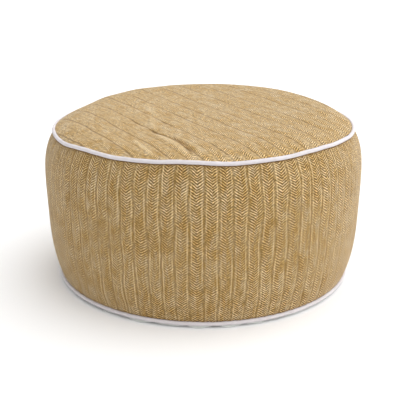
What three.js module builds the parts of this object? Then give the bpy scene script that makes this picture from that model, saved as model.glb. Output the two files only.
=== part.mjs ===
// Round inflatable pouf: a filled drum in a ribbed woven cover, a covered cord sewn around its top and
// bottom seams, and a pale cloth underneath. Millimetres, +Z up, the front faces -Y, and the origin is
// on the floor below the middle. Azimuths are degrees from the front, growing towards +X.

import * as THREE from "three";
import { mergeVertices } from "three/addons/utils/BufferGeometryUtils.js";

// Main sizes
const WELT_RING_RADIUS = 247.5; // from the pouf's axis to the middle of the sewn-in cord
const WELT_RADIUS = 3; // half the covered cord's thickness
const BOTTOM_SEAM_HEIGHT = 7;
const TOP_SEAM_HEIGHT = 253;
const TOP_HEIGHT = 274; // at the middle of the top
const TOP_TILT = 2.5; // how much higher the top and its seam are at the right edge than in the middle
const TOP_PITCH = 11.4; // how much higher the top is at the back edge than in the middle
const SIDE_BULGE = 16.4; // how far the inflated side stands out past its seams
const UPPER_FULLNESS = 5.1; // the higher, the flatter the side's middle and the tighter its shoulder
const LOWER_FULLNESS = 3.15; // the same for the lower half
const SIDE_LEAN = 13; // moves some of the bulge from the lower half to the upper one
const CLOTH_THICKNESS = 2;
const AIR_GAP = 2; // between a cloth sheet and the filled drum
const SEWN_GAP = 0.7; // between the cord and the cloth sewn to it

// The weave's grooves, which leave raised ribs between them
const SIDE_RIBS = 80;
const SIDE_GROOVE_DEPTH = 1.2;
const GROOVE_HALF_WIDTH = 3.3;
const RIM_FADE = 10; // over this width the top's relief fades out towards its seam
const TOP_RIB_HEADING = THREE.MathUtils.degToRad(-58.7); // in plan, from +X
const TOP_REPEAT = 37.4; // across the ribs, from one strong groove to the next
const TOP_GROOVES = [
  { offset: 23, depth: 1.0 },
  { offset: 41.7, depth: 0.6 },
];

// How tight the rounded edge of the top is: the higher, the tighter
const CROWN_FULLNESS = [
  { azimuth: -150, value: 16.6 },
  { azimuth: -100, value: 8.2 },
  { azimuth: -80, value: 8.2 },
  { azimuth: -30, value: 12 },
  { azimuth: 30, value: 12 },
  { azimuth: 80, value: 10 },
  { azimuth: 100, value: 10 },
  { azimuth: 150, value: 16.6 },
];

// How far the top seam wanders up from its level
const TOP_SEAM_WANDER = [
  { azimuth: -110, value: 0.8 },
  { azimuth: -80, value: 1.0 },
  { azimuth: -61, value: -0.9 },
  { azimuth: -45, value: 2.2 },
  { azimuth: -29, value: -0.4 },
  { azimuth: -19, value: -0.1 },
  { azimuth: -6.5, value: 1.7 },
  { azimuth: 9.5, value: -1.9 },
  { azimuth: 24, value: -0.8 },
  { azimuth: 42, value: 2.0 },
  { azimuth: 57, value: 0.6 },
  { azimuth: 71, value: -1.8 },
  { azimuth: 100, value: -0.6 },
  { azimuth: 135, value: -1.0 },
  { azimuth: 175, value: 0.8 },
  { azimuth: 215, value: -0.6 },
];

// Soft creases standing up from the top, each from a start through a bend to an end, in plan
const TOP_CREASES = [
  { start: [-75, -130], bend: [-46, -152], end: [-6, -240], height: 2.2, halfWidth: 9 },
  { start: [-101, -156], bend: [-80, -197], end: [-60, -233], height: 1.4, halfWidth: 8 },
  { start: [-100, 54], bend: [-88, -30], end: [-76, -124], height: 1.2, halfWidth: 9 },
];

// The base cloth from its level middle out to the bottom seam: how far it stays inside the cord's ring, and
// its reach in a full bulge
const BASE_PROFILE = [
  { inset: 24, height: 0, tilt: 0, swell: 6 },
  { inset: 14, height: 0.6, tilt: 8, swell: 9 },
  { inset: 7.5, height: 2, tilt: 18, swell: 9.5 },
  { inset: 2.6, height: 4.4, tilt: 40, swell: 0 },
];

const BULGE_SAG = 0.7; // share of its height that the cloth loses in a full bulge

// Places where the base cloth bulges out below the bottom seam
const BASE_BULGES = [
  { azimuth: -62, spread: 9, size: 0.45 },
  { azimuth: -37, spread: 6, size: 0.65 },
  { azimuth: -23.5, spread: 5.5, size: 1 },
  { azimuth: -12, spread: 7, size: 0.7 },
  { azimuth: -1.5, spread: 4.5, size: 1 },
  { azimuth: 9, spread: 4.5, size: 1 },
  { azimuth: 18.5, spread: 4.5, size: 0.8 },
  { azimuth: 34, spread: 6, size: 0.6 },
  { azimuth: 52, spread: 9, size: 0.4 },
  { azimuth: 84, spread: 12, size: 0.7 },
  { azimuth: 121, spread: 9, size: 0.5 },
  { azimuth: 158, spread: 12, size: 0.8 },
  { azimuth: 203, spread: 10, size: 0.6 },
  { azimuth: 246, spread: 12, size: 0.7 },
];

// How finely the surfaces are divided
const SIDE_ROWS = [0, 0.05, 0.13, 0.24, 0.4, 0.6, 0.76, 0.87, 0.95, 1]; // shares of the side's height
const CROWN_RINGS = [1, 0.965, 0.925, 0.875, 0.8, 0.66, 0.4]; // shares of the top's radius
const FINE_RINGS = 2; // this many of them have all their points on the top's hidden face
const TOP_END_ANGLES = [5, 10, 15, 17.5]; // extra rows where the ribs get short, degrees round the rim
const CREASE_STEPS = 24;
const WELT_STEPS = 96;
const WELT_SIDES = 8;
const BASE_STEPS = 120;
const HIDDEN_SHARE = 3; // one point in three is kept on the sheets' hidden faces

// Sizes that follow from the ones above
const TUCK_RADIUS = WELT_RADIUS + SEWN_GAP;
const RIM_INSET = TUCK_RADIUS * Math.SQRT1_2;
const RIM_RADIUS = WELT_RING_RADIUS - RIM_INSET;
const SIDE_PITCH = (2 * Math.PI * (WELT_RING_RADIUS + SIDE_BULGE)) / SIDE_RIBS;
const DRUM_INSET = CLOTH_THICKNESS + AIR_GAP;
const HALF_BEHIND_CORD = 45; // turns around the cord's middle, where the side is drawn in
const BEHIND_CORD = 90;

const { degToRad, euclideanModulo, lerp, smoothstep } = THREE.MathUtils;

// A point at a distance from the axis, an azimuth and a height
function around(radius, azimuth, height) {
  const angle = degToRad(azimuth);
  return new THREE.Vector3(radius * Math.sin(angle), -radius * Math.cos(angle), height);
}

function azimuthOf(x, y) {
  return THREE.MathUtils.radToDeg(Math.atan2(x, -y));
}

function bottomSeamHeight() {
  return BOTTOM_SEAM_HEIGHT;
}

// A table's value at an azimuth, eased from one row to the next all the way round
function easedAround(rows, azimuth) {
  const turned = rows[0].azimuth + euclideanModulo(azimuth - rows[0].azimuth, 360);
  const next = rows.findIndex((row) => row.azimuth > turned);
  const after = next < 0 ? { azimuth: rows[0].azimuth + 360, value: rows[0].value } : rows[next];
  const before = next < 0 ? rows[rows.length - 1] : rows[next - 1];
  return lerp(before.value, after.value, smoothstep(turned, before.azimuth, after.azimuth));
}

function topSeamHeight(azimuth) {
  const tilt = TOP_TILT * Math.sin(degToRad(azimuth));
  return TOP_SEAM_HEIGHT + tilt + easedAround(TOP_SEAM_WANDER, azimuth);
}

// How much the base cloth bulges at an azimuth, from 0 to 1
function baseBulge(azimuth) {
  const sizes = BASE_BULGES.map(({ azimuth: middle, spread, size }) => {
    const away = (euclideanModulo(azimuth - middle + 180, 360) - 180) / spread;
    return size * Math.exp(-away * away);
  });
  return Math.min(1, Math.max(...sizes));
}

// A point of the smooth crown above a place in plan, moved in from its surface by an inset
function crownPoint(x, y, inset) {
  const radius = Math.hypot(x, y);
  const share = Math.min(1, radius / RIM_RADIUS);
  const azimuth = azimuthOf(x, y);
  const fullness = easedAround(CROWN_FULLNESS, azimuth);
  const level = TOP_HEIGHT + (TOP_TILT * x + TOP_PITCH * y) / WELT_RING_RADIUS;
  const drop = level - topSeamHeight(azimuth) - RIM_INSET;
  const slope = (drop * fullness * share ** (fullness - 1)) / RIM_RADIUS;
  const fall = Math.atan(slope);
  const height = level - drop * share ** fullness;
  const scale = radius > 0 ? (radius - inset * Math.sin(fall)) / radius : 1;
  return new THREE.Vector3(x * scale, y * scale, height - inset * Math.cos(fall));
}

// A point of the base cloth's profile row, moved in from its outer surface by an inset
function basePoint(row, azimuth, inset, bulge) {
  const tilt = degToRad(row.tilt);
  const outward = WELT_RING_RADIUS - row.inset + row.swell * bulge;
  const height = row.swell > 0 ? row.height * (1 - BULGE_SAG * bulge) : row.height;
  return around(outward - inset * Math.sin(tilt), azimuth, height + inset * Math.cos(tilt));
}

// Depth of the top's grooves at a distance across the ribs
function topGrooveDepth(across) {
  const depths = TOP_GROOVES.map(({ offset, depth }) => {
    const away = Math.abs(euclideanModulo(across - offset + TOP_REPEAT / 2, TOP_REPEAT) - TOP_REPEAT / 2);
    return depth * Math.max(0, 1 - away / GROOVE_HALF_WIDTH);
  });
  return Math.max(...depths);
}

// Height of the top's creases at a place in plan: full along each line, fading to its sides and ends
const creaseLines = TOP_CREASES.map(({ start, bend, end, height, halfWidth }) => {
  const points = [start, bend, end].map(([x, y]) => new THREE.Vector2(x, y));
  return { line: new THREE.QuadraticBezierCurve(...points).getPoints(CREASE_STEPS), height, halfWidth };
});

function creaseHeight(x, y) {
  const place = new THREE.Vector2(x, y);
  const heights = creaseLines.map(({ line, height, halfWidth }) => {
    const distances = line.map((point) => point.distanceTo(place));
    const away = Math.min(...distances);
    const along = distances.indexOf(away) / (line.length - 1);
    const endFade = Math.sin(Math.PI * along) ** 0.5;
    return away < halfWidth ? height * endFade * (1 - (away / halfWidth) ** 2) ** 2 : 0;
  });
  return Math.max(...heights);
}

// Joins two closed rings of points with triangles; the upper ring lies above or outside the lower one.
// A ring may have fewer points than its neighbour, or be a single point.
function joinRings(corners, lower, upper) {
  const lowerSteps = lower.length > 1 ? lower.length : 0;
  const upperSteps = upper.length > 1 ? upper.length : 0;
  let a = 0;
  let b = 0;
  while (a < lowerSteps || b < upperSteps) {
    const lowerPoint = lower[a % lower.length];
    const upperPoint = upper[b % upper.length];
    const stepLower = b >= upperSteps || (a < lowerSteps && (a + 1) * upperSteps <= (b + 1) * lowerSteps);
    if (stepLower) {
      a += 1;
      corners.push(lowerPoint, lower[a % lower.length], upperPoint);
    } else {
      b += 1;
      corners.push(lowerPoint, upper[b % upper.length], upperPoint);
    }
  }
}

// Joins a stack of rings, from the bottom's middle out and up to the top's middle
function joinStack(corners, rings) {
  for (let k = 0; k + 1 < rings.length; k += 1) {
    joinRings(corners, rings[k], rings[k + 1]);
  }
}

// One closed body from a list of triangle corners
function closedGeometry(corners) {
  const geometry = mergeVertices(new THREE.BufferGeometry().setFromPoints(corners));
  geometry.computeVertexNormals();
  return geometry;
}

// The drum's columns: a groove and the two edges of the ribs beside it, for each rib
function sideColumns() {
  const columns = [];
  for (let rib = 0; rib < SIDE_RIBS; rib += 1) {
    for (const across of [-GROOVE_HALF_WIDTH, 0, GROOVE_HALF_WIDTH]) {
      columns.push({
        azimuth: ((rib + across / SIDE_PITCH) * 360) / SIDE_RIBS,
        depth: across === 0 ? SIDE_GROOVE_DEPTH : 0,
      });
    }
  }
  return columns;
}

// How far the inflated side stands out at a share of its height
function sideBulge(share) {
  const fromMiddle = 2 * share - 1;
  const fullness = fromMiddle > 0 ? UPPER_FULLNESS : LOWER_FULLNESS;
  const lean = SIDE_LEAN * share * (1 - share) * fromMiddle;
  return SIDE_BULGE * (1 - Math.abs(fromMiddle) ** fullness) + lean;
}

// A ring of the drum's ribbed side at a share of its height
function sideRing(columns, share) {
  const radius = WELT_RING_RADIUS + sideBulge(share);
  const lowest = bottomSeamHeight() + TUCK_RADIUS;
  return columns.map(({ azimuth, depth }) => {
    const highest = topSeamHeight(azimuth) - TUCK_RADIUS;
    return around(radius - depth, azimuth, lerp(lowest, highest, share));
  });
}

// A ring where the side is drawn in behind the cord, turned around the cord by an angle from its foot;
// direction is 1 above the cord and -1 below it
function tuckRing(columns, seamHeight, angle, direction) {
  const turn = degToRad(angle);
  return columns.map(({ azimuth }) => {
    const radius = WELT_RING_RADIUS - TUCK_RADIUS * Math.sin(turn);
    return around(radius, azimuth, seamHeight(azimuth) + direction * TUCK_RADIUS * Math.cos(turn));
  });
}

// The filled drum: underside, side drawn in at both seams, and the crown below the top panel.
// Rings that the cord or a sheet hides have points at the grooves alone.
function sideBand() {
  const columns = sideColumns();
  const grooves = columns.filter(({ depth }) => depth > 0);
  const crownRing = (share) => grooves.map(({ azimuth }) => {
    const { x, y } = around(RIM_RADIUS * share, azimuth, 0);
    return crownPoint(x, y, DRUM_INSET);
  });
  const baseRing = (row) => grooves.map(({ azimuth }) => basePoint(row, azimuth, DRUM_INSET, 0));
  const corners = [];
  joinStack(corners, [
    [new THREE.Vector3(0, 0, DRUM_INSET)],
    ...BASE_PROFILE.map(baseRing),
    tuckRing(grooves, bottomSeamHeight, BEHIND_CORD, 1),
    tuckRing(columns, bottomSeamHeight, HALF_BEHIND_CORD, 1),
    ...SIDE_ROWS.map((share) => sideRing(columns, share)),
    tuckRing(columns, topSeamHeight, HALF_BEHIND_CORD, -1),
    tuckRing(grooves, topSeamHeight, BEHIND_CORD, -1),
    ...CROWN_RINGS.map(crownRing),
    [new THREE.Vector3(0, 0, TOP_HEIGHT - DRUM_INSET)],
  ]);
  return closedGeometry(corners);
}

// Distances across the top's ribs where its rows of points run: grooves, rib edges and rib middles, then
// the end rows, where the ribs are short
function topRows() {
  const endRows = TOP_END_ANGLES.map((angle) => RIM_RADIUS * Math.cos(degToRad(angle)));
  const reach = Math.min(...endRows) - GROOVE_HALF_WIDTH;
  const repeats = Math.ceil(RIM_RADIUS / TOP_REPEAT);
  const ribRows = [];
  for (let k = -repeats; k <= repeats; k += 1) {
    const [strong, weak] = TOP_GROOVES.map(({ offset }) => offset + k * TOP_REPEAT);
    for (const groove of [strong, weak]) {
      ribRows.push(groove - GROOVE_HALF_WIDTH, groove, groove + GROOVE_HALF_WIDTH);
    }
    ribRows.push((strong + weak) / 2, (weak + strong + TOP_REPEAT) / 2);
  }
  const kept = ribRows.filter((row) => Math.abs(row) < reach);
  return [...kept, ...endRows, ...endRows.map((row) => -row)].sort((p, q) => p - q);
}

// A point on the top panel's outer face; along and across are measured on its ribs. The seam presses
// the ribs and creases flat at the rim.
function topPoint(along, across) {
  const x = along * Math.cos(TOP_RIB_HEADING) - across * Math.sin(TOP_RIB_HEADING);
  const y = along * Math.sin(TOP_RIB_HEADING) + across * Math.cos(TOP_RIB_HEADING);
  const point = crownPoint(x, y, 0);
  const relief = creaseHeight(x, y) - topGrooveDepth(across);
  point.z += relief * smoothstep(RIM_RADIUS - Math.hypot(x, y), 0, RIM_FADE);
  return point;
}

// The domed top sheet: rows of points along its ribs above, and rings of points below. Its lower face,
// which is hidden, is coarser away from the rim.
function topPanel() {
  const alongShares = [...CROWN_RINGS.map((share) => -share), 0, ...CROWN_RINGS.toReversed()];
  const rows = topRows().map((across) => {
    const halfLength = Math.sqrt(RIM_RADIUS ** 2 - across ** 2);
    return alongShares.map((share) => topPoint(halfLength * share, across));
  });
  const firstEnd = topPoint(0, -RIM_RADIUS);
  const lastEnd = topPoint(0, RIM_RADIUS);
  const corners = [];
  for (let i = 0; i + 1 < alongShares.length; i += 1) {
    corners.push(firstEnd, rows[0][i + 1], rows[0][i]);
    corners.push(lastEnd, rows.at(-1)[i], rows.at(-1)[i + 1]);
    for (let j = 0; j + 1 < rows.length; j += 1) {
      corners.push(rows[j][i], rows[j][i + 1], rows[j + 1][i + 1]);
      corners.push(rows[j][i], rows[j + 1][i + 1], rows[j + 1][i]);
    }
  }
  const farEdge = rows.map((row) => row.at(-1));
  const nearEdge = rows.map((row) => row[0]).reverse();
  const rim = [firstEnd, ...farEdge, lastEnd, ...nearEdge];
  const coarseRim = rim.filter((_, i) => i % HIDDEN_SHARE === 0);
  const lowerRings = CROWN_RINGS.map((share, k) => {
    const places = k < FINE_RINGS ? rim : coarseRim;
    return places.map(({ x, y }) => crownPoint(x * share, y * share, CLOTH_THICKNESS));
  });
  joinStack(corners, [
    [new THREE.Vector3(0, 0, TOP_HEIGHT - CLOTH_THICKNESS)],
    ...lowerRings.reverse(),
    rim,
  ]);
  return closedGeometry(corners);
}

// The dished base sheet: level underneath, its edge bulging unevenly below the bottom seam. Its upper face,
// which is hidden, is coarser.
function basePanel() {
  const azimuths = Array.from({ length: BASE_STEPS }, (_, i) => (i * 360) / BASE_STEPS);
  const hiddenAzimuths = azimuths.filter((_, i) => i % HIDDEN_SHARE === 0);
  const ring = (places, row, inset) =>
    places.map((azimuth) => basePoint(row, azimuth, inset, baseBulge(azimuth)));
  const corners = [];
  joinStack(corners, [
    [new THREE.Vector3(0, 0, 0)],
    ...BASE_PROFILE.map((row) => ring(azimuths, row, 0)),
    ring(azimuths, BASE_PROFILE.at(-1), CLOTH_THICKNESS),
    ring(hiddenAzimuths, BASE_PROFILE[1], CLOTH_THICKNESS),
    [new THREE.Vector3(0, 0, CLOTH_THICKNESS)],
  ]);
  return closedGeometry(corners);
}

// The middle line of a cord sewn into a seam
class SeamCurve extends THREE.Curve {
  constructor(seamHeight) {
    super();
    this.seamHeight = seamHeight;
  }

  getPoint(share, target = new THREE.Vector3()) {
    const azimuth = share * 360;
    return target.copy(around(WELT_RING_RADIUS, azimuth, this.seamHeight(azimuth)));
  }
}

function weltRing(seamHeight) {
  return new THREE.TubeGeometry(new SeamCurve(seamHeight), WELT_STEPS, WELT_RADIUS, WELT_SIDES, true);
}

function cloth(color, roughness) {
  return new THREE.MeshStandardMaterial({ color, roughness, metalness: 0 });
}

function piece(name, geometry, material) {
  const mesh = new THREE.Mesh(geometry, material);
  mesh.name = name;
  return mesh;
}

const coverCloth = cloth(0xbd9f70, 0.95);
const weltCloth = cloth(0xe8e4e6, 0.85);
const baseCloth = cloth(0xd9dbd6, 0.9);

const pouf = new THREE.Group();
pouf.add(piece("side_band", sideBand(), coverCloth));
pouf.add(piece("top_panel", topPanel(), coverCloth));
pouf.add(piece("base_panel", basePanel(), baseCloth));
pouf.add(piece("top_welt", weltRing(topSeamHeight), weltCloth));
pouf.add(piece("bottom_welt", weltRing(bottomSeamHeight), weltCloth));

export default pouf;
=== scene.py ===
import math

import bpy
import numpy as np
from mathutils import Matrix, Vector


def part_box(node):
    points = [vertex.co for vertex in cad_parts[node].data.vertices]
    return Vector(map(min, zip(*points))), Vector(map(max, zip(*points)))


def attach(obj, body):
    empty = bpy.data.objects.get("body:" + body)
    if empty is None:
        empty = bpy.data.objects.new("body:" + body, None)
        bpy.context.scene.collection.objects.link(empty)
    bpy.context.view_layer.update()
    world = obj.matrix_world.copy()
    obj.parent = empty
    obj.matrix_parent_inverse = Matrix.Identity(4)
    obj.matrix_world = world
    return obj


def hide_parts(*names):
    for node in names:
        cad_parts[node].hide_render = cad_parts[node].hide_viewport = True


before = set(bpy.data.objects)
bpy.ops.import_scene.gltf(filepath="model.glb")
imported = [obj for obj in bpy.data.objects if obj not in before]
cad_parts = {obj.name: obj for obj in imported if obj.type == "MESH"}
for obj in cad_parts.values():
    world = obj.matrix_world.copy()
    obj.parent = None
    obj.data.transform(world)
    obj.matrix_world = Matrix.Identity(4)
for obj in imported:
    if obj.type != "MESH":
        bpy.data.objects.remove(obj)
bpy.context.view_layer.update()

# The inflatable pouf's finished surfaces: a ribbed herringbone cover on its side and top, covered cords sewn
# into both seams, and a pale cloth underneath. Lengths are metres in the model's frame; the tables are in
# millimetres. The front faces -Y, and azimuths are radians from the front, growing towards +X.

MM = 0.001

# Main sizes, from the frame where it holds them
welt_low, welt_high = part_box("bottom_welt")
WELT_RADIUS = (welt_high.z - welt_low.z) / 2
WELT_RING_RADIUS = welt_high.x - WELT_RADIUS
BOTTOM_SEAM_HEIGHT = (welt_high.z + welt_low.z) / 2
TOP_SEAM_HEIGHT = 253 * MM
TOP_HEIGHT = 274 * MM       # at the middle of the top
TOP_TILT = 2.5 * MM         # how much higher the top and its seam are at the right edge than in the middle
TOP_PITCH = 11.4 * MM       # how much higher the top is at the back edge than in the middle
SIDE_BULGE = 16.4 * MM      # how far the inflated side stands out past its seams
UPPER_FULLNESS = 5.1        # the higher, the flatter the side's middle and the tighter its shoulder
LOWER_FULLNESS = 3.15       # the same for the lower half
SIDE_LEAN = 13 * MM         # moves some of the bulge from the lower half to the upper one
CLOTH_THICKNESS = 1.6 * MM  # of the top and base sheets
SEWN_GAP = 0.25 * MM        # between a cord and the cloth sewn to it
DRUM_BELOW_CROWN = 5 * MM   # from the top's outer face down to the drum under it
UNDERSIDE_HEIGHT = 5 * MM   # of the drum, over the floor
SEAM_SHADE = 1.6 * MM       # how quickly the painted shade by the side's seams fades away from them
TUCK_RADIUS = WELT_RADIUS + SEWN_GAP
RIM_INSET = TUCK_RADIUS * math.sqrt(0.5)
RIM_RADIUS = WELT_RING_RADIUS - RIM_INSET

# The weave: fifteen warp yarns to a rib, with a groove at each edge of the rib
SIDE_RIBS = 80
SIDE_RIB_PITCH = 2 * math.pi * (WELT_RING_RADIUS + SIDE_BULGE) / SIDE_RIBS
TOP_RIB_PITCH = 18.7 * MM
TOP_RIB_HEADING = math.radians(-58.7)
TOP_GROOVE_OFFSET = 23 * MM
TOP_WEAK_GROOVE = 0.55      # every other groove on the top is this much of a full one
WARPS_PER_RIB = 15
FLOAT_PITCH = 3.95 * MM     # from one float to the next along a warp yarn
FLOAT_SLIP = 0.8            # in float pitches, how far floats stray from their places
WEAVE_RELIEF = 0.4 * MM     # from the weft up to the floats' tops

# Height of the cover across one rib: share of the rib, and millimetres from its mean surface
RIB_PROFILE = [
    # across, relief
    (0.000, -0.40),
    (0.055, -0.25),
    (0.165, 0.22),
    (0.333, -0.04),
    (0.500, 0.12),
    (0.667, -0.04),
    (0.835, 0.22),
    (0.945, -0.25),
]
RIB_ACROSS = np.array([across for across, relief in RIB_PROFILE])
RIB_RELIEF = np.array([relief for across, relief in RIB_PROFILE]) * MM
RIB_AT_SEAM = 0.35          # how much of the side's relief is left at a seam
RELIEF_FADE = 9 * MM        # over which the relief grows to its full height away from a seam

# How far the top seam wanders up from its level
TOP_SEAM_WANDER = [
    # azimuth in degrees, lift in millimetres
    (-110, 0.8),
    (-80, 1.0),
    (-61, -0.9),
    (-45, 2.2),
    (-29, -0.4),
    (-19, -0.1),
    (-6.5, 1.7),
    (9.5, -1.9),
    (24, -0.8),
    (42, 2.0),
    (57, 0.6),
    (71, -1.8),
    (100, -0.6),
    (135, -1.0),
    (175, 0.8),
    (215, -0.6),
]

# How tight the rounded edge of the top is: the higher, the tighter
CROWN_FULLNESS = [
    # azimuth in degrees, fullness
    (-150, 16.6),
    (-100, 8.2),
    (-80, 8.2),
    (-30, 12),
    (30, 12),
    (80, 10),
    (100, 10),
    (150, 16.6),
]

# Creases on the top, in plan: start, bend and end, height, and the widths to the right and left of the line.
# Those below zero are valleys. Valleys get a painted shade and crests a painted highlight.
TOP_CREASES = [
    # start, bend, end, height, right, left
    ((-73, -133), (-33, -168), (-16, -231), -2.6, 2.0, 2.0),
    ((-48, -155), (-26, -180), (-8, -233), -2.1, 1.8, 1.8),
    ((-44, -152), (-21, -178), (-3, -233), 1.1, 2.4, 3.2),
    ((-78, -138), (-41, -183), (-24, -234), 1.3, 3.0, 7.0),
    ((-83, -107), (-78, -120), (-71, -137), -2.4, 1.9, 1.9),
    ((-69, -111), (-70, -122), (-72, -135), -1.6, 1.8, 1.8),
    ((-100, -158), (-78, -207), (-64, -228), -1.2, 2.0, 2.0),
    ((-105, -162), (-84, -212), (-70, -231), 1.3, 3.0, 7.0),
    ((12, -193), (17, -207), (33, -229), -1.0, 1.8, 1.8),
    ((26, -208), (37, -223), (47, -241), -1.0, 1.8, 1.8),
    ((20, -204), (28, -218), (42, -238), 1.0, 3.5, 3.5),
    ((-93, -10), (-89, -20), (-85, -30), -1.0, 2.0, 2.0),
    ((-68, -60), (-61, -76), (-56, -90), -1.1, 2.0, 2.0),
    ((-56, -89), (-50, -94), (-43, -92), -0.8, 1.8, 1.8),
    ((-118, -52), (-104, -83), (-91, -93), -0.9, 2.0, 2.0),
    ((-106, 62), (-94, 50), (-86, 38), -0.7, 2.0, 2.0),
    ((-100, 60), (-88, -30), (-76, -128), 0.8, 3.0, 12.0),
]
DEEP_VALLEY = 2.0 * MM      # a valley this deep gets the full painted shade, and a crest this high the full painted highlight
CREASE_STEPS = 60
CREASE_REACH = 160 * MM     # points farther than this from a crease's middle don't feel it

# The base cloth from its level middle out to the bottom seam: how far it stays inside the cord's ring, its
# height, and its reach in a full bulge
BASE_PROFILE = [
    # inset, height, swell
    (24.0, 0.0, 6.0),
    (18.0, 0.2, 8.0),
    (14.0, 0.6, 9.0),
    (10.2, 1.2, 9.6),
    (7.4, 2.0, 9.5),
    (5.0, 2.9, 6.5),
    (3.4, 3.7, 3.0),
    (2.4, 4.5, 0.0),
]
BULGE_SAG = 0.7             # how much of its height the cloth loses in a full bulge

# Places where the base cloth bulges out below the bottom seam
BASE_BULGES = [
    # azimuth and spread in degrees, size
    (-62, 9, 0.45),
    (-37, 6, 0.65),
    (-23.5, 5.5, 1.0),
    (-12, 7, 0.7),
    (-1.5, 4.5, 1.0),
    (9, 4.5, 1.0),
    (18.5, 4.5, 0.8),
    (34, 6, 0.6),
    (52, 9, 0.4),
    (84, 12, 0.7),
    (121, 9, 0.5),
    (158, 12, 0.8),
    (203, 10, 0.6),
    (246, 12, 0.7),
]

# How uneven the cloth is: slow dents, short puckers beside the seams, and ribs that wander
SIDE_DENTS = 0.7 * MM
SIDE_PUCKERS = 0.45 * MM
SIDE_SWAY = 1.1 * MM
TOP_DENTS = 0.5 * MM
TOP_PUCKERS = 0.4 * MM
TOP_SWAY = 0.9 * MM
DENT_FADE = 60 * MM         # from a seam to where the side's dents are full
SIDE_SWAY_FADE = 30 * MM
TOP_SWAY_FADE = 25 * MM
PUCKER_REACH = 8.5 * MM     # how quickly the puckers die away from a seam
BASE_RIPPLE = 0.35 * MM
WELT_UNEVENNESS = 0.1 * MM

# How finely the surfaces are divided
SIDE_ROWS = 84
SIDE_GATHER = 0.4           # how much the side's rows crowd towards its seams
TUCK_STEPS = 5
DRUM_BASE_RINGS = [0.9, 1.0]                # shares of the hidden drum's radius
DRUM_CROWN_RINGS = [0.93, 0.8, 0.6, 0.35]
TOP_STEPS = 260
TOP_GATHER = 0.45           # how much the steps along the top's rows crowd towards its rim
TOP_END_ROWS = 14           # smooth rows at each side of the top, past its last rib
TOP_END_STEP = 1.2          # degrees of the rim from one end row to the next
TOP_UNDER_RINGS = [0.9925, 0.975, 0.95, 0.9, 0.7]   # shares of the rim's radius
WELT_STEPS = 960
WELT_SIDES = 18
BASE_STEPS = 720
BASE_MIDDLE_RINGS = [60, 150]               # radii in millimetres

# How the bake maps are laid out
SIDE_STRIPS = 6             # the side is cut into these, laid in rows of three
STRIPS_IN_ROW = 3
STRIP_MARGIN = 0.02
WELT_STRIPS = 8             # a cord is cut into these, laid one above the other
CAP_PLACE = 0.995           # where the drum's hidden ends go

# The studio, and the photograph's view of it
SURROUND_STRENGTH = 0.68
FLOOR_HALF_WIDTH = 9.0
FLOOR_GREY = 0.92
KEY_STRENGTH = 2.85
KEY_SPREAD = math.radians(100)
KEY_ELEVATION = math.radians(54)
KEY_AZIMUTH = math.radians(98)
CAMERA_ELEVATION = math.radians(18.73)
CAMERA_DISTANCE = 1.3118
CAMERA_AIM = Vector((-0.0058, 0, 0.116))
CAMERA_SENSOR = 36          # in millimetres, like the lens
CAMERA_LENS = 67.9


def ease(share):
    """Smooth step from 0 to 1."""
    share = np.clip(share, 0, 1)
    return share * share * (3 - 2 * share)


def eased_around(rows, azimuth):
    """A table's value at azimuths, eased from one row to the next all the way round."""
    places = np.array([row[0] for row in rows] + [rows[0][0] + 360], float)
    values = np.array([row[1] for row in rows] + [rows[0][1]], float)
    turned = places[0] + np.mod(np.degrees(azimuth) - places[0], 360)
    after = np.clip(np.searchsorted(places, turned, side="right"), 1, len(places) - 1)
    share = ease((turned - places[after - 1]) / (places[after] - places[after - 1]))
    return values[after - 1] * (1 - share) + values[after] * share


def top_seam_height(azimuth):
    """Height of the top seam."""
    return TOP_SEAM_HEIGHT + TOP_TILT * np.sin(azimuth) + eased_around(TOP_SEAM_WANDER, azimuth) * MM


def bottom_seam_height(azimuth):
    """Height of the bottom seam, which lies level."""
    return np.full_like(azimuth, BOTTOM_SEAM_HEIGHT)


def side_bulge(share):
    """How far the inflated side stands out at shares of its height."""
    from_middle = 2 * share - 1
    fullness = np.where(from_middle > 0, UPPER_FULLNESS, LOWER_FULLNESS)
    lean = SIDE_LEAN * share * (1 - share) * from_middle
    return SIDE_BULGE * (1 - np.abs(from_middle) ** fullness) + lean


def base_bulge(azimuth):
    """How much the base cloth bulges, from 0 to 1."""
    size = np.zeros_like(azimuth)
    for middle, spread, height in BASE_BULGES:
        away = (np.mod(np.degrees(azimuth) - middle + 180, 360) - 180) / spread
        size = np.maximum(size, height * np.exp(-away * away))
    return size


def waves(around, along, rounds, reach, count, seed):
    """Smooth unevenness, mostly between -1.5 and 1.5: a sum of waves that closes around the pouf.

    rounds is the least and the most waves around; reach is the shortest wave along, in along's unit."""
    draw = np.random.default_rng(seed)
    total = np.zeros(np.broadcast(around, along).shape)
    for _ in range(count):
        turns = draw.integers(rounds[0], rounds[1] + 1)
        rise = draw.uniform(-1, 1) * 2 * math.pi / reach
        total = total + np.cos(turns * around + rise * along + draw.uniform(0, 2 * math.pi))
    return total / math.sqrt(count)


def around_axis(radius, azimuth, height):
    """Points at a distance from the axis, an azimuth and a height."""
    radius, azimuth, height = np.broadcast_arrays(radius, azimuth, height)
    return np.stack([radius * np.sin(azimuth), -radius * np.cos(azimuth), height], -1)


def closed_quads(rows, columns):
    """Faces of a grid of rows that each close on themselves, facing out when rows go up."""
    row = np.arange(rows - 1)[:, None] * columns
    here = np.arange(columns)[None]
    after = (here + 1) % columns
    return np.stack([row + here, row + after, row + columns + after, row + columns + here], -1).reshape(-1, 4)


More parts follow.
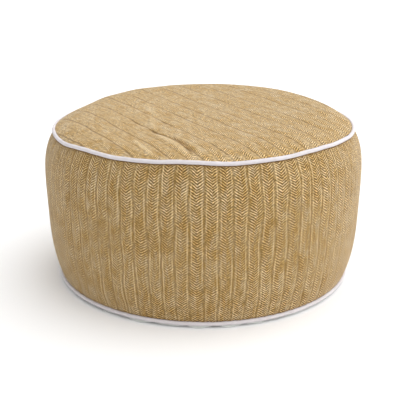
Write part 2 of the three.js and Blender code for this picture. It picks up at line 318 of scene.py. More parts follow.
def corner_places(column_places, row_places):
    """Places across and up of the corners of a grid's faces, in closed_quads' order."""
    face_row = np.repeat(np.arange(len(row_places) - 1), len(column_places) - 1)
    face_column = np.tile(np.arange(len(column_places) - 1), len(row_places) - 1)
    across = np.stack([column_places[face_column], column_places[face_column + 1]], -1)[:, [0, 1, 1, 0]]
    up = np.stack([row_places[face_row], row_places[face_row + 1]], -1)[:, [0, 0, 1, 1]]
    return across, up


def disc_bake(points, corners, radius, is_hidden):
    """Bake map of a round sheet, by corner: its visible face large, its hidden face small beside it."""
    flat = points[corners, :2] / (2.1 * radius)
    return np.where(is_hidden[:, None], flat * 0.2 + [0.9, 0.1], flat * 0.8 + [0.4, 0.6])


def make_piece(name, points, quads, triangles, uv_maps, node, shade=None):
    """A smooth mesh piece that rides on the body and stands for its CAD node.

    uv_maps gives, for each map's name, the coordinates of every corner: the quads', then the triangles'.
    shade, for each point, is painted shade in a fold or by a seam, up to 1, and painted highlight on a crest,
    down to -1."""
    mesh = bpy.data.meshes.new(name)
    faces = [tuple(face) for face in quads.tolist()] + [tuple(face) for face in triangles.tolist()]
    mesh.from_pydata(points.tolist(), [], faces)
    for map_name, corners in uv_maps.items():
        layer = mesh.uv_layers.new(name=map_name)
        layer.data.foreach_set("uv", corners.astype(np.float32).ravel())
    if shade is not None:
        layer = mesh.attributes.new("shade", "FLOAT", "POINT")
        layer.data.foreach_set("value", shade.astype(np.float32))
    mesh.polygons.foreach_set("use_smooth", np.ones(len(faces), bool))
    mesh.validate()
    mesh.update()
    piece = bpy.data.objects.new(name, mesh)
    bpy.context.scene.collection.objects.link(piece)
    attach(piece, "root")
    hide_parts(node)
    return piece


def cap_fan(ring, middle):
    """Triangles from a ring's points to a middle point, facing out when the ring is seen turning left."""
    return np.stack([ring, np.roll(ring, -1), np.full_like(ring, middle)], -1)


def closed_skin(rings, low_middle, high_middle):
    """Points, quads and triangles of a skin of rings, closed by a fan at its first and its last ring."""
    rows, columns = rings.shape[:2]
    middle = rows * columns
    points = np.concatenate([rings.reshape(-1, 3), [low_middle, high_middle]])
    first = np.arange(columns)
    last = first + (rows - 1) * columns
    triangles = np.concatenate([cap_fan(first[::-1], middle), cap_fan(last, middle + 1)])
    return points, closed_quads(rows, columns), triangles


# Side band

def side_surface(azimuth, relief):
    """Rows of points on the side between its seams, and each row's distance from the nearer seam."""
    steps = np.linspace(0, 1, SIDE_ROWS)
    crowded = 0.5 - 0.5 * np.cos(math.pi * steps)
    share = ((1 - SIDE_GATHER) * steps + SIDE_GATHER * crowded)[:, None]
    low = BOTTOM_SEAM_HEIGHT + TUCK_RADIUS
    height = low + share * (top_seam_height(azimuth) - TUCK_RADIUS - low)
    from_seam = np.minimum(share, 1 - share) * (TOP_SEAM_HEIGHT - BOTTOM_SEAM_HEIGHT)

    pressed = RIB_AT_SEAM + (1 - RIB_AT_SEAM) * ease(from_seam / RELIEF_FADE)
    dents = SIDE_DENTS * waves(azimuth, height, rounds=(2, 7), reach=0.25, count=9, seed=11)
    dents = dents * ease(from_seam / DENT_FADE)
    puckers = SIDE_PUCKERS * waves(azimuth, height, rounds=(70, 130), reach=0.05, count=14, seed=12)
    puckers = puckers * np.exp(-from_seam / PUCKER_REACH)
    radius = WELT_RING_RADIUS + side_bulge(share) + relief * pressed + dents + puckers
    sway = SIDE_SWAY * waves(azimuth, height, rounds=(9, 30), reach=0.07, count=16, seed=13)
    sway = sway * ease(from_seam / SIDE_SWAY_FADE)
    return around_axis(radius, azimuth + sway / WELT_RING_RADIUS, height), from_seam


def drum_ends(azimuth):
    """Rings of points under and over the side: each end tucks in behind its cord and then closes the drum."""
    top_seam = top_seam_height(azimuth)
    turn = np.linspace(0, math.pi / 2, TUCK_STEPS + 1)[1:, None]
    tuck_in = WELT_RING_RADIUS - TUCK_RADIUS * np.sin(turn)
    tuck_rise = TUCK_RADIUS * np.cos(turn)
    bottom_tuck = around_axis(tuck_in, azimuth, BOTTOM_SEAM_HEIGHT + tuck_rise)[::-1]
    top_tuck = around_axis(tuck_in, azimuth, top_seam - tuck_rise)
    hidden = WELT_RING_RADIUS - 2 * TUCK_RADIUS
    below_height = np.array([[UNDERSIDE_HEIGHT], [BOTTOM_SEAM_HEIGHT]])
    below = around_axis(hidden * np.array(DRUM_BASE_RINGS)[:, None], azimuth, below_height)
    above_seam = around_axis(hidden, azimuth, top_seam)[None]
    crown = around_axis(hidden * np.array(DRUM_CROWN_RINGS)[:, None], azimuth, 0)
    crown[..., 2] = crown_height(crown[..., 0], crown[..., 1]) - DRUM_BELOW_CROWN
    return np.concatenate([below, bottom_tuck]), np.concatenate([top_tuck, above_seam, crown])


def side_band():
    """The filled drum's skin: ribbed barrel side, drawn in behind both cords, closed above and below."""
    ribs = (np.arange(SIDE_RIBS)[:, None] + RIB_ACROSS).ravel()
    azimuth = ribs * 2 * math.pi / SIDE_RIBS
    side, from_seam = side_surface(azimuth, np.tile(RIB_RELIEF, SIDE_RIBS))
    lower_end, upper_end = drum_ends(azimuth)
    rings = np.concatenate([lower_end, side, upper_end])
    points, quads, triangles = closed_skin(
        rings, [0, 0, UNDERSIDE_HEIGHT], [0, 0, TOP_HEIGHT - DRUM_BELOW_CROWN]
    )

    # The weave map counts ribs around and rib widths up the cloth; the bake map lays out the side's strips
    lengths = np.linalg.norm(np.diff(rings, axis=0), axis=-1).mean(1)
    up = np.concatenate([[0], np.cumsum(lengths)])
    corner_rib, corner_up = corner_places(np.concatenate([ribs, [SIDE_RIBS]]), up)
    weave = np.stack([corner_rib, corner_up / SIDE_RIB_PITCH], -1).reshape(-1, 2)
    weave = np.concatenate([weave, np.zeros((len(triangles) * 3, 2))])
    strip_at = corner_rib / SIDE_RIBS * SIDE_STRIPS
    strip = np.floor(strip_at.min(1, keepdims=True))
    strip_row, strip_column = np.divmod(strip, STRIPS_IN_ROW)
    bake = np.stack([
        (strip_at - strip + strip_column + STRIP_MARGIN) / (STRIPS_IN_ROW + 0.1),
        (corner_up / up[-1] + strip_row + STRIP_MARGIN) / (SIDE_STRIPS / STRIPS_IN_ROW + 0.1),
    ], -1).reshape(-1, 2)
    bake = np.concatenate([bake, np.full((len(triangles) * 3, 2), CAP_PLACE)])

    # Painted shade by both seams: full on the tucks and the drum's ends, fading away from the seams
    seam_shade = np.ones(rings.shape[:2])
    seam_shade[len(lower_end):len(lower_end) + SIDE_ROWS] = np.exp(-from_seam / SEAM_SHADE)
    shade = np.concatenate([seam_shade.ravel(), [1, 1]])
    piece = make_piece(
        "side_band_cloth", points, quads, triangles, {"weave": weave, "OFBake": bake},
        "side_band", shade,
    )
    return piece


# Top panel

def crown_height(x, y):
    """Height of the smooth crown above places in plan."""
    share = np.minimum(1, np.hypot(x, y) / RIM_RADIUS)
    azimuth = np.arctan2(x, -y)
    level = TOP_HEIGHT + (TOP_TILT * x + TOP_PITCH * y) / WELT_RING_RADIUS
    drop = level - top_seam_height(azimuth) - RIM_INSET
    return level - drop * share ** eased_around(CROWN_FULLNESS, azimuth)


def crease_height(x, y):
    """Height of the creases at places in plan, and their painted shade, which is negative where it is a
    painted highlight on a crest; each has a width of its own on either side.
    """
    total = np.zeros_like(x)
    for start, bend, end, height, right, left in TOP_CREASES:
        t = np.linspace(0, 1, CREASE_STEPS)[:, None]
        line = ((1 - t) ** 2 * start + 2 * t * (1 - t) * np.array(bend) + t ** 2 * end) * MM
        near = np.hypot(x - line[:, 0].mean(), y - line[:, 1].mean()) < CREASE_REACH
        dx = x[near][:, None] - line[:, 0]
        dy = y[near][:, None] - line[:, 1]
        apart = np.hypot(dx, dy)
        nearest = apart.argmin(1)
        pick = np.arange(len(nearest))
        heading = np.gradient(line, axis=0)[nearest]
        side = np.sign(heading[:, 0] * dy[pick, nearest] - heading[:, 1] * dx[pick, nearest])
        width = np.where(side > 0, left, right) * MM
        along = nearest / (CREASE_STEPS - 1)
        fade = ease(8 * np.minimum(along, 1 - along) + 0.1)
        total[near] += height * MM * fade * np.exp(-(apart[pick, nearest] / width) ** 2)
    return total, np.clip(-total / DEEP_VALLEY, -1, 1)


def top_rows():
    """Places across the top's ribs where its rows of points run, and each row's relief."""
    count = math.ceil(RIM_RADIUS / TOP_RIB_PITCH) + 1
    rib = np.arange(-count, count + 1)
    strength = np.where(rib % 2 == 0, 1.0, TOP_WEAK_GROOVE)
    next_strength = np.roll(strength, -1)
    groove = np.where(RIB_ACROSS < 0.5, strength[:, None], next_strength[:, None])
    places = ((rib[:, None] + RIB_ACROSS) * TOP_RIB_PITCH + TOP_GROOVE_OFFSET).ravel()
    heights = (RIB_RELIEF * groove).ravel()
    ends = RIM_RADIUS * np.cos(np.radians(TOP_END_STEP * np.arange(1, TOP_END_ROWS + 1)))
    kept = np.abs(places) < ends.min() - 1 * MM
    places = np.concatenate([places[kept], ends, -ends])
    heights = np.concatenate([heights[kept], np.zeros(2 * len(ends))])
    order = np.argsort(places)
    return places[order], heights[order]


def top_surface(across, relief):
    """Points of the top's outer face, in rows along its ribs, and the creases' painted shade and painted
    highlight at each.
    """
    half_length = np.sqrt(RIM_RADIUS ** 2 - across ** 2)[:, None]
    steps = np.linspace(-1, 1, TOP_STEPS + 1)[None]
    along = half_length * ((1 - TOP_GATHER) * steps + TOP_GATHER * np.sin(math.pi / 2 * steps))
    wide = np.broadcast_to(across[:, None], along.shape)
    to_rim = RIM_RADIUS - np.hypot(along, wide)
    sway = TOP_SWAY * waves(np.arctan2(wide, along), along, rounds=(1, 5), reach=0.09, count=10, seed=21)
    placed = wide + sway * ease(to_rim / TOP_SWAY_FADE)
    x = along * math.cos(TOP_RIB_HEADING) - placed * math.sin(TOP_RIB_HEADING)
    y = along * math.sin(TOP_RIB_HEADING) + placed * math.cos(TOP_RIB_HEADING)
    dents = TOP_DENTS * waves(5 * wide / RIM_RADIUS, along, rounds=(1, 4), reach=0.12, count=9, seed=22)
    puckers = TOP_PUCKERS * waves(np.arctan2(x, -y), to_rim, rounds=(60, 110), reach=0.05, count=12, seed=23)
    puckers = puckers * np.exp(-to_rim / PUCKER_REACH)
    creases, crease_shade = crease_height(x, y)
    lift = (relief[:, None] + creases + dents + puckers) * ease(to_rim / RELIEF_FADE)
    return np.stack([x, y, crown_height(x, y) + lift], -1), crease_shade


def top_panel():
    """The top sheet: rounded down at its edge, its ribs running across at an angle, with its creases."""
    across, relief = top_rows()
    upper, crease_shade = top_surface(across, relief)
    rows, columns = upper.shape[:2]
    ends = []
    for end in (-RIM_RADIUS, RIM_RADIUS):
        end_x = -end * math.sin(TOP_RIB_HEADING)
        end_y = end * math.cos(TOP_RIB_HEADING)
        ends.append([end_x, end_y, float(crown_height(np.array(end_x), np.array(end_y)))])
    grid = np.arange(rows * columns).reshape(rows, columns)
    first_end, last_end = rows * columns, rows * columns + 1
    quads = np.stack([grid[:-1, :-1], grid[:-1, 1:], grid[1:, 1:], grid[1:, :-1]], -1).reshape(-1, 4)
    triangles = np.concatenate([
        np.stack([np.full(columns - 1, first_end), grid[0, 1:], grid[0, :-1]], -1),
        np.stack([np.full(columns - 1, last_end), grid[-1, :-1], grid[-1, 1:]], -1),
    ])
    rim = np.concatenate([[first_end], grid[:, -1], [last_end], grid[::-1, 0]])
    points = np.concatenate([upper.reshape(-1, 3), ends])

    # The lower face: rings drawn in from the rim, a cloth's thickness below
    shrink = np.array(TOP_UNDER_RINGS)[:, None]
    rim_points = points[rim]
    ring_x = rim_points[None, :, 0] * shrink
    ring_y = rim_points[None, :, 1] * shrink
    lower = np.stack([ring_x, ring_y, crown_height(ring_x, ring_y) - CLOTH_THICKNESS], -1)
    start = len(points)
    points = np.concatenate([points, lower.reshape(-1, 3), [[0, 0, TOP_HEIGHT - CLOTH_THICKNESS]]])
    rings = np.concatenate([[rim], start + np.arange(lower.shape[0] * len(rim)).reshape(-1, len(rim))])
    following = np.roll(rings, -1, axis=1)
    under = np.stack([rings[:-1], rings[1:], following[1:], following[:-1]], -1).reshape(-1, 4)
    middle = cap_fan(rings[-1][::-1], len(points) - 1)

    quads = np.concatenate([quads, under])
    triangles = np.concatenate([triangles, middle])

    # The weave map counts ribs across and rib widths along each row's true length, from the row's middle
    wide = np.broadcast_to(across[:, None], (rows, columns))
    run = np.cumsum(np.linalg.norm(np.diff(upper, axis=1), axis=-1), axis=1)
    run = np.concatenate([np.zeros((rows, 1)), run], axis=1)
    run = run - run[:, TOP_STEPS // 2:TOP_STEPS // 2 + 1]
    upper_weave = np.stack([(wide - TOP_GROOVE_OFFSET) / TOP_RIB_PITCH, run / SIDE_RIB_PITCH], -1)
    end_weave = [[(end - TOP_GROOVE_OFFSET) / TOP_RIB_PITCH, 0] for end in (-RIM_RADIUS, RIM_RADIUS)]
    under_weave = np.zeros((len(points) - len(upper_weave.reshape(-1, 2)) - 2, 2))
    weave = np.concatenate([upper_weave.reshape(-1, 2), end_weave, under_weave])
    corners = np.concatenate([quads.ravel(), triangles.ravel()])
    is_under = np.concatenate([
        np.repeat(np.arange(len(quads)) >= len(quads) - len(under), 4),
        np.repeat(np.arange(len(triangles)) >= len(triangles) - len(middle), 3),
    ])
    bake = disc_bake(points, corners, RIM_RADIUS, is_under)
    shade = np.concatenate([crease_shade.ravel(), np.zeros(len(points) - crease_shade.size)])
    piece = make_piece(
        "top_panel_cloth", points, quads, triangles, {"weave": weave[corners], "OFBake": bake},
        "top_panel", shade,
    )
    return piece


# Base panel

def base_panel():
    """The dished base sheet: level underneath, its edge bulging unevenly below the bottom seam."""
    azimuth = np.arange(BASE_STEPS) * 2 * math.pi / BASE_STEPS
    bulge = base_bulge(azimuth)[None]
    inset, height, swell = (np.array(column)[:, None] * MM for column in zip(*BASE_PROFILE))
    radius = WELT_RING_RADIUS - inset
    sag = np.where(swell > 0, 1 - BULGE_SAG * bulge * swell / swell.max(), 1)
    ripple = BASE_RIPPLE * waves(azimuth, height, rounds=(25, 60), reach=0.02, count=10, seed=31)
    ripple = ripple * ease(height / (2 * MM))
    outer = around_axis(radius + swell * bulge + ripple, azimuth, height * sag)
    inner = around_axis(
        radius + swell * bulge - 0.5 * CLOTH_THICKNESS,
        azimuth,
        height * sag + CLOTH_THICKNESS,
    )
    middle_rings = np.array(BASE_MIDDLE_RINGS)[:, None] * MM
    rings = np.concatenate([
        around_axis(middle_rings, azimuth, 0),
        outer,
        inner[::-1],
        around_axis(middle_rings[::-1], azimuth, CLOTH_THICKNESS),
    ])
    points, quads, triangles = closed_skin(rings, [0, 0, 0], [0, 0, CLOTH_THICKNESS])
    corners = np.concatenate([quads.ravel(), triangles.ravel()])
    weave = points[:, :2] / SIDE_RIB_PITCH
    upper_from = (len(rings) // 2 - 1) * BASE_STEPS
    is_upper = np.concatenate([
        np.repeat(np.arange(len(quads)) >= upper_from, 4),
        np.repeat(np.arange(len(triangles)) >= BASE_STEPS, 3),
    ])
    bake = disc_bake(points, corners, WELT_RING_RADIUS, is_upper)
    piece = make_piece(
        "base_panel_cloth", points, quads, triangles, {"weave": weave[corners], "OFBake": bake},
        "base_panel",
    )
    return piece


# Welts

def welt_cord(name, node, seam_height, seed):
    """A covered cord around a seam, a little uneven in thickness where its cover is drawn tight."""
    azimuth = np.arange(WELT_STEPS) * 2 * math.pi / WELT_STEPS
    turn = np.arange(WELT_SIDES)[:, None] * 2 * math.pi / WELT_SIDES
    swell = waves(azimuth, turn, rounds=(14, 60), reach=6.0, count=12, seed=seed)
    lift = waves(azimuth, 0.0, rounds=(20, 45), reach=1.0, count=8, seed=seed + 1)
    thickness = WELT_RADIUS + WELT_UNEVENNESS * swell
    middle = seam_height(azimuth) + WELT_UNEVENNESS * lift
    radius = WELT_RING_RADIUS + thickness * np.cos(turn)
    rings = around_axis(radius, azimuth, middle + thickness * np.sin(turn))
    quads = closed_quads(WELT_SIDES + 1, WELT_STEPS) % (WELT_SIDES * WELT_STEPS)
    along_share, round_share = corner_places(
        np.arange(WELT_STEPS + 1) / WELT_STEPS, np.arange(WELT_SIDES + 1) / WELT_SIDES
    )
    weave = np.stack([
        along_share * 2 * math.pi * WELT_RING_RADIUS / SIDE_RIB_PITCH,
        round_share * 2 * math.pi * WELT_RADIUS / SIDE_RIB_PITCH,
    ], -1).reshape(-1, 2)
    strip = np.floor(along_share.min(1, keepdims=True) * WELT_STRIPS)
    bake = np.stack([
        along_share * WELT_STRIPS - strip,
        (round_share + strip * (1 + STRIP_MARGIN)) / (WELT_STRIPS + 0.2),
    ], -1).reshape(-1, 2)
    return make_piece(
        name, rings.reshape(-1, 3), quads, np.zeros((0, 3), int), {"weave": weave, "OFBake": bake},
        node,
    )


# Materials

class Graph:
    """Builds a material's nodes by short calls; a value is a number or another node's socket."""

    def __init__(self, name):
        self.material = bpy.data.materials.new(name)
        self.material.use_nodes = True
        self.tree = self.material.node_tree
        self.shader = self.tree.nodes["Principled BSDF"]

    def node(self, kind, inputs=(), **settings):
        """A new node with its inputs and settings."""
        made = self.tree.nodes.new(kind)
        for key, value in settings.items():
            setattr(made, key, value)
        for socket, value in dict(inputs).items():
            self.put(made.inputs[socket], value)
        return made

    def put(self, socket, value):
        """Links a socket into another, or sets the other to a number or colour."""
        if isinstance(value, bpy.types.NodeSocket):
            self.tree.links.new(value, socket)
        else:
            socket.default_value = value

    def math(self, operation, *values):
        return self.node("ShaderNodeMath", enumerate(values), operation=operation).outputs[0]

    def times_add(self, value, factor, more):
        """value times factor, plus more."""
        return self.math("MULTIPLY_ADD", value, factor, more)

    def chance(self, x, y=0.0):
        """A number from 0 to 1 that is different for each place."""
        made = self.node("ShaderNodeTexWhiteNoise", {"Vector": self.place(x, y)}, noise_dimensions="2D")
        return made.outputs["Value"]

    def fit(self, value, low, high, to_low=0.0, to_high=1.0):
        """Eases from to_low to to_high while the value goes from low to high."""
        ranges = {"Value": value, "From Min": low, "From Max": high, "To Min": to_low, "To Max": to_high}
        return self.node("ShaderNodeMapRange", ranges, interpolation_type="SMOOTHSTEP").outputs[0]

    def place(self, x, y=0.0, z=0.0):
        return self.node("ShaderNodeCombineXYZ", {"X": x, "Y": y, "Z": z}).outputs[0]

    def noise(self, place, scale, detail=2.0, roughness=0.5):
        """Soft noise from 0 to 1; a place's z picks a layer of its own."""
        inputs = {"Vector": place, "Scale": scale, "Detail": detail, "Roughness": roughness}
        return self.node("ShaderNodeTexNoise", inputs, noise_dimensions="3D").outputs["Fac"]

    def mix(self, factor, a, b, blend="MIX"):
        made = self.node("ShaderNodeMix", {0: factor}, data_type="RGBA", blend_type=blend)
        self.put(made.inputs["A"], a)
        self.put(made.inputs["B"], b)
        return made.outputs["Result"]

    def ramp(self, value, stops):
        """A colour from a list of values and their colours."""
        made = self.node("ShaderNodeValToRGB", {"Fac": value})
        elements = made.color_ramp.elements
        for k, (at, colour) in enumerate(stops):
            stop = elements[k] if k < 2 else elements.new(at)
            stop.position = at
            stop.color = colour
        return made.outputs["Color"]

    def bump(self, height, distance, strength=1.0):
        inputs = {"Height": height, "Distance": distance, "Strength": strength}
        return self.node("ShaderNodeBump", inputs).outputs["Normal"]

    def weave_map(self):
        """Ribs counted across the cloth, and rib widths counted along it."""
        made = self.node("ShaderNodeUVMap", uv_map="weave")
        split = self.node("ShaderNodeSeparateXYZ", {"Vector": made.outputs["UV"]})
        return split.outputs["X"], split.outputs["Y"]


def srgb(red, green, blue):
    """A colour given in 8-bit sRGB, as the linear values that nodes take."""
    def linear(value):
        value /= 255
        return value / 12.92 if value <= 0.04045 else ((value + 0.055) / 1.055) ** 2.4
    return linear(red), linear(green), linear(blue), 1.0


# The cover's yarns, from the darkest tone to the lightest, and its other colours, among them painted shade
# and painted highlight
YARN_TONES = [
    # tone, colour
    (0.28, srgb(202, 160, 84)),
    (0.41, srgb(217, 182, 120)),
    (0.52, srgb(228, 202, 157)),
    (0.65, srgb(236, 217, 187)),
]
WEFT_TONES = [
    (0.3, srgb(90, 62, 22)),
    (0.6, srgb(114, 88, 42)),
]
FLANK_COLOUR = srgb(230, 203, 156)
# Painted shade along the rib grooves
GROOVE_SHADE_COLOUR = srgb(92, 62, 26)
# Painted highlight on crests, and painted shade in valleys and by the seams
PAINTED_HIGHLIGHT_COLOUR = srgb(240, 218, 178)
PAINTED_HIGHLIGHT_SHARE = 0.4           # how much of it shows on the highest crest
PAINTED_SHADE_COLOUR = srgb(112, 76, 28)
PAINTED_SHADE_SHARE = 0.6            # how much of it shows in the deepest valley and at a seam


def chevron_floats(g, ribs, half_rib, up):
    """Height of the warp floats, from 0 to 1.

    They rise a quarter of their pitch from yarn to yarn, up in one half of a rib and down in the other, so
    they stand in slanting lines that meet in chevrons."""
    warp = g.math("MULTIPLY", ribs, float(WARPS_PER_RIB))
    turned = g.times_add(g.math("FLOORED_MODULO", half_rib, 2.0), -2.0, 1.0)
    drift = g.noise(g.place(g.math("MULTIPLY", half_rib, 3.7), up), 0.7)
    slip = g.times_add(drift, FLOAT_SLIP, g.chance(half_rib, 3.0))
    uneven = g.noise(g.place(ribs, up, 3.0), 2.0, 1.0)
    slip = g.times_add(uneven, FLOAT_SLIP, slip)
    start = g.times_add(g.math("MULTIPLY", warp, turned), 1 / 4, slip)
    along = g.times_add(up, SIDE_RIB_PITCH / FLOAT_PITCH, start)
    return g.times_add(g.math("SINE", g.math("MULTIPLY", along, 2 * math.pi)), 0.5, 0.5)


def woven_height(g, ribs, half_rib, off_middle, up):
    """Height of the weave: floats down the middle of a rib, smooth yarns with less weft by its grooves."""
    floats = chevron_floats(g, ribs, half_rib, up)
    ragged = g.noise(g.place(g.math("MULTIPLY", half_rib, 2.3), up, 5.0), 1.3, 3.0)
    column = g.fit(g.times_add(ragged, 0.12, off_middle), 0.42, 0.5, 1.0, 0.25)
    clear = g.fit(g.noise(g.place(ribs, up, 2.0), 4.0, 0.0), 0.35, 0.6, 0.5, 1.0)
    speckle = g.math("MULTIPLY", column, clear)
    fibre = g.noise(g.place(ribs, up, 6.0), 4.0, 1.0)
    smooth = g.times_add(fibre, 0.5, 0.25)
    return g.times_add(speckle, g.math("SUBTRACT", floats, smooth), smooth)


def yarn_tone(g, ribs, half_rib, up):
    """How light the yarn is: streaks along single yarns and half ribs, and broad patches."""
    streak = g.noise(g.place(g.math("MULTIPLY", ribs, 6.0), up), 0.9, 2.0)
    band = g.noise(g.place(g.math("MULTIPLY", half_rib, 7.7), up, 4.0), 0.9, 3.0)
    patch = g.noise(g.place(g.math("MULTIPLY", ribs, 1.2), up, 9.0), 1.3, 2.0)
    tone = g.times_add(streak, 0.35, g.math("MULTIPLY", band, 0.25))
    return g.times_add(patch, 0.3, tone)


def groove_marks(g, ribs, off_middle, up, weak_groove, groove_width):
    """How much each place is in the groove at a rib's edge, which gets painted shade, and in the pale yarn
    beside it.

    The pale yarn comes and goes along its length. Every other groove is weak_groove of a full one."""
    nearer = g.math("SUBTRACT", 0.5, off_middle)
    from_groove = g.math("MULTIPLY", nearer, SIDE_RIB_PITCH / MM)
    which = g.math("ROUND", ribs)
    side = g.math("GREATER_THAN", g.math("FRACT", ribs), 0.5)
    fading = g.noise(g.place(g.times_add(which, 5.3, g.math("MULTIPLY", side, 2.1)), up, 7.0), 0.45, 3.0)
    flank = g.math("MULTIPLY", g.fit(from_groove, 1.4, 2.5), g.fit(from_groove, 3.2, 4.4, 1.0, 0.0))
    flank = g.math("MULTIPLY", flank, g.fit(fading, 0.36, 0.6))
    strength = g.times_add(g.math("FLOORED_MODULO", which, 2.0), weak_groove - 1.0, 1.0)
    broken = g.fit(g.noise(g.place(g.math("MULTIPLY", which, 3.1), up, 1.0), 0.6, 3.0), 0.3, 0.6, 0.6, 1.0)
    line = g.fit(from_groove, 0.3, groove_width, 1.0, 0.0)
    return g.math("MULTIPLY", line, g.math("MULTIPLY", strength, broken)), flank


def cover_cloth(name, weft_levels, flank_share, weak_groove, groove_width, groove_depth, fleck_share):
    """Straw-coloured herringbone: pale warp floats over dark weft, and a pale yarn on each side of a groove.
    Painted shade darkens folds, seams and grooves, and a painted highlight lightens crests.

    weft_levels are the heights at which only weft and only warp show. flank_share says how strongly the pale
    yarns show, and fleck_share how much small spots differ in brightness. groove_width, in millimetres, and
    groove_depth say how wide and dark the painted shade in a full groove is; every other one is weak_groove
    of that."""
    g = Graph(name)
    ribs, up = g.weave_map()
    half_rib = g.math("FLOOR", g.math("MULTIPLY", ribs, 2.0))
    off_middle = g.math("ABSOLUTE", g.math("SUBTRACT", g.math("FRACT", ribs), 0.5))
    height = woven_height(g, ribs, half_rib, off_middle, up)
    tone = yarn_tone(g, ribs, half_rib, up)
    groove, flank = groove_marks(g, ribs, off_middle, up, weak_groove, groove_width)

    colour = g.mix(g.fit(height, *weft_levels), g.ramp(tone, WEFT_TONES), g.ramp(tone, YARN_TONES))
    colour = g.mix(g.math("MULTIPLY", flank, flank_share), colour, FLANK_COLOUR)
    fleck = g.noise(g.place(ribs, up, 8.0), 6.0, 1.0)
    bright = g.fit(fleck, 0.25, 0.75, 1.0 - fleck_share / 2, 1.0 + fleck_share / 2)
    colour = g.mix(1.0, colour, g.place(bright, bright, bright), "MULTIPLY")
    # Painted shade along the grooves
    colour = g.mix(g.math("MULTIPLY", groove, groove_depth), colour, GROOVE_SHADE_COLOUR)
    # Painted highlight on crests, and painted shade in folds and by the seams, from each point's shade
    # attribute
    shade_and_highlight = g.node("ShaderNodeAttribute", attribute_name="shade").outputs["Fac"]
    colour = g.mix(g.fit(shade_and_highlight, 0.0, -1.0, 0.0, PAINTED_HIGHLIGHT_SHARE), colour, PAINTED_HIGHLIGHT_COLOUR)
    colour = g.mix(g.fit(shade_and_highlight, 0.0, 1.0, 0.0, PAINTED_SHADE_SHARE), colour, PAINTED_SHADE_COLOUR)
    g.put(g.shader.inputs["Base Color"], colour)
    g.put(g.shader.inputs["Normal"], g.bump(height, WEAVE_RELIEF, 0.8))
    g.put(g.shader.inputs["Roughness"], g.fit(height, 0.0, 1.0, 0.95, 0.8))
    g.shader.inputs["Sheen Weight"].default_value = 0.2
    g.shader.inputs["Sheen Roughness"].default_value = 0.4
    g.shader.inputs["Specular IOR Level"].default_value = 0.2
    return g.material


def plain_cloth(name, bright, shaded, thread, turn):
    """Plain-woven cloth with fine threads, set at an angle to its map, faintly mottled."""
    g = Graph(name)
    across, up = g.weave_map()
    thread_count = SIDE_RIB_PITCH / thread
    cos_turn, sin_turn = math.cos(turn) * thread_count, math.sin(turn) * thread_count
    first = g.math("ADD", g.math("MULTIPLY", across, cos_turn), g.math("MULTIPLY", up, sin_turn))
    second = g.math("SUBTRACT", g.math("MULTIPLY", up, cos_turn), g.math("MULTIPLY", across, sin_turn))
    wave_one = g.math("SINE", g.math("MULTIPLY", first, math.pi))
    wave_two = g.math("SINE", g.math("MULTIPLY", second, math.pi))
    threads = g.math("MULTIPLY", wave_one, wave_two)
    place = g.place(across, up)
    mottle = g.noise(place, 1.6, 4.0)
    height = g.math("ADD", g.math("MULTIPLY", threads, 0.5), mottle)
    tone = g.math("ADD", g.math("MULTIPLY", mottle, 0.8), g.math("MULTIPLY", threads, 0.12))
    g.put(g.shader.inputs["Base Color"], g.ramp(tone, [(0.25, shaded), (0.6, bright)]))
    g.put(g.shader.inputs["Normal"], g.bump(height, 0.15 * MM, 0.6))
    g.put(g.shader.inputs["Roughness"], g.fit(threads, -1.0, 1.0, 0.9, 0.75))
    g.shader.inputs["Sheen Weight"].default_value = 0.1
    g.shader.inputs["Sheen Roughness"].default_value = 0.5
    g.shader.inputs["Specular IOR Level"].default_value = 0.25
    return g.material


# Studio

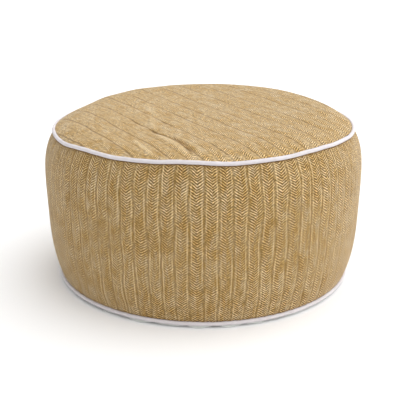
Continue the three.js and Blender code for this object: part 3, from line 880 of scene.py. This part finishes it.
def make_studio():
    """Pale floor, white surroundings, and a large soft light from the right."""
    scene = bpy.context.scene
    scene.view_settings.view_transform = "Standard"
    world = bpy.data.worlds.new("studio")
    world.use_nodes = True
    world.node_tree.nodes["Background"].inputs["Color"].default_value = (1.0, 1.0, 1.0, 1.0)
    world.node_tree.nodes["Background"].inputs["Strength"].default_value = SURROUND_STRENGTH
    scene.world = world

    floor_mesh = bpy.data.meshes.new("studio_floor")
    half = FLOOR_HALF_WIDTH
    corners = [(-half, -half, 0), (half, -half, 0), (half, half, 0), (-half, half, 0)]
    floor_mesh.from_pydata(corners, [], [(0, 1, 2, 3)])
    floor = bpy.data.objects.new("studio_floor", floor_mesh)
    scene.collection.objects.link(floor)
    paint = Graph("studio_floor")
    paint.shader.inputs["Base Color"].default_value = (FLOOR_GREY, FLOOR_GREY, FLOOR_GREY, 1.0)
    paint.shader.inputs["Roughness"].default_value = 0.9
    floor_mesh.materials.append(paint.material)

    data = bpy.data.lights.new("key_light", "SUN")
    data.energy = KEY_STRENGTH
    data.angle = KEY_SPREAD
    key = bpy.data.objects.new("key_light", data)
    towards = Vector(around_axis(math.cos(KEY_ELEVATION), KEY_AZIMUTH, math.sin(KEY_ELEVATION)))
    key.rotation_mode = "QUATERNION"
    key.rotation_quaternion = (-towards).to_track_quat("-Z", "Y")
    scene.collection.objects.link(key)


def make_camera():
    """The photograph's view: from the front, a little above the pouf."""
    back = Vector((0, -math.cos(CAMERA_ELEVATION), math.sin(CAMERA_ELEVATION)))
    data = bpy.data.cameras.new("photo_camera")
    data.sensor_width = CAMERA_SENSOR
    data.lens = CAMERA_LENS
    camera = bpy.data.objects.new("photo_camera", data)
    camera.location = CAMERA_AIM + back * CAMERA_DISTANCE
    camera.rotation_mode = "QUATERNION"
    camera.rotation_quaternion = (-back).to_track_quat("-Z", "Y")
    bpy.context.scene.collection.objects.link(camera)
    bpy.context.scene.camera = camera


make_camera()
make_studio()

side_cloth = cover_cloth(
    "side_cloth", weft_levels=(0.2, 1.04), flank_share=0.42, weak_groove=0.9, groove_width=1.7,
    groove_depth=0.15, fleck_share=0.65,
)
top_cloth = cover_cloth(
    "top_cloth", weft_levels=(0.14, 0.91), flank_share=0.15, weak_groove=0.3, groove_width=1.8,
    groove_depth=0.65, fleck_share=0.8,
)
welt_cloth = plain_cloth(
    "welt_cloth", bright=srgb(223, 218, 220), shaded=srgb(207, 201, 204), thread=0.55 * MM,
    turn=math.radians(45),
)
base_cloth = plain_cloth(
    "base_cloth", bright=srgb(226, 228, 224), shaded=srgb(208, 211, 206), thread=0.7 * MM, turn=0.0,
)

side_band().data.materials.append(side_cloth)
top_panel().data.materials.append(top_cloth)
base_panel().data.materials.append(base_cloth)
welt_cord("top_welt_cord", "top_welt", top_seam_height, 41).data.materials.append(welt_cloth)
welt_cord("bottom_welt_cord", "bottom_welt", bottom_seam_height, 51).data.materials.append(welt_cloth)
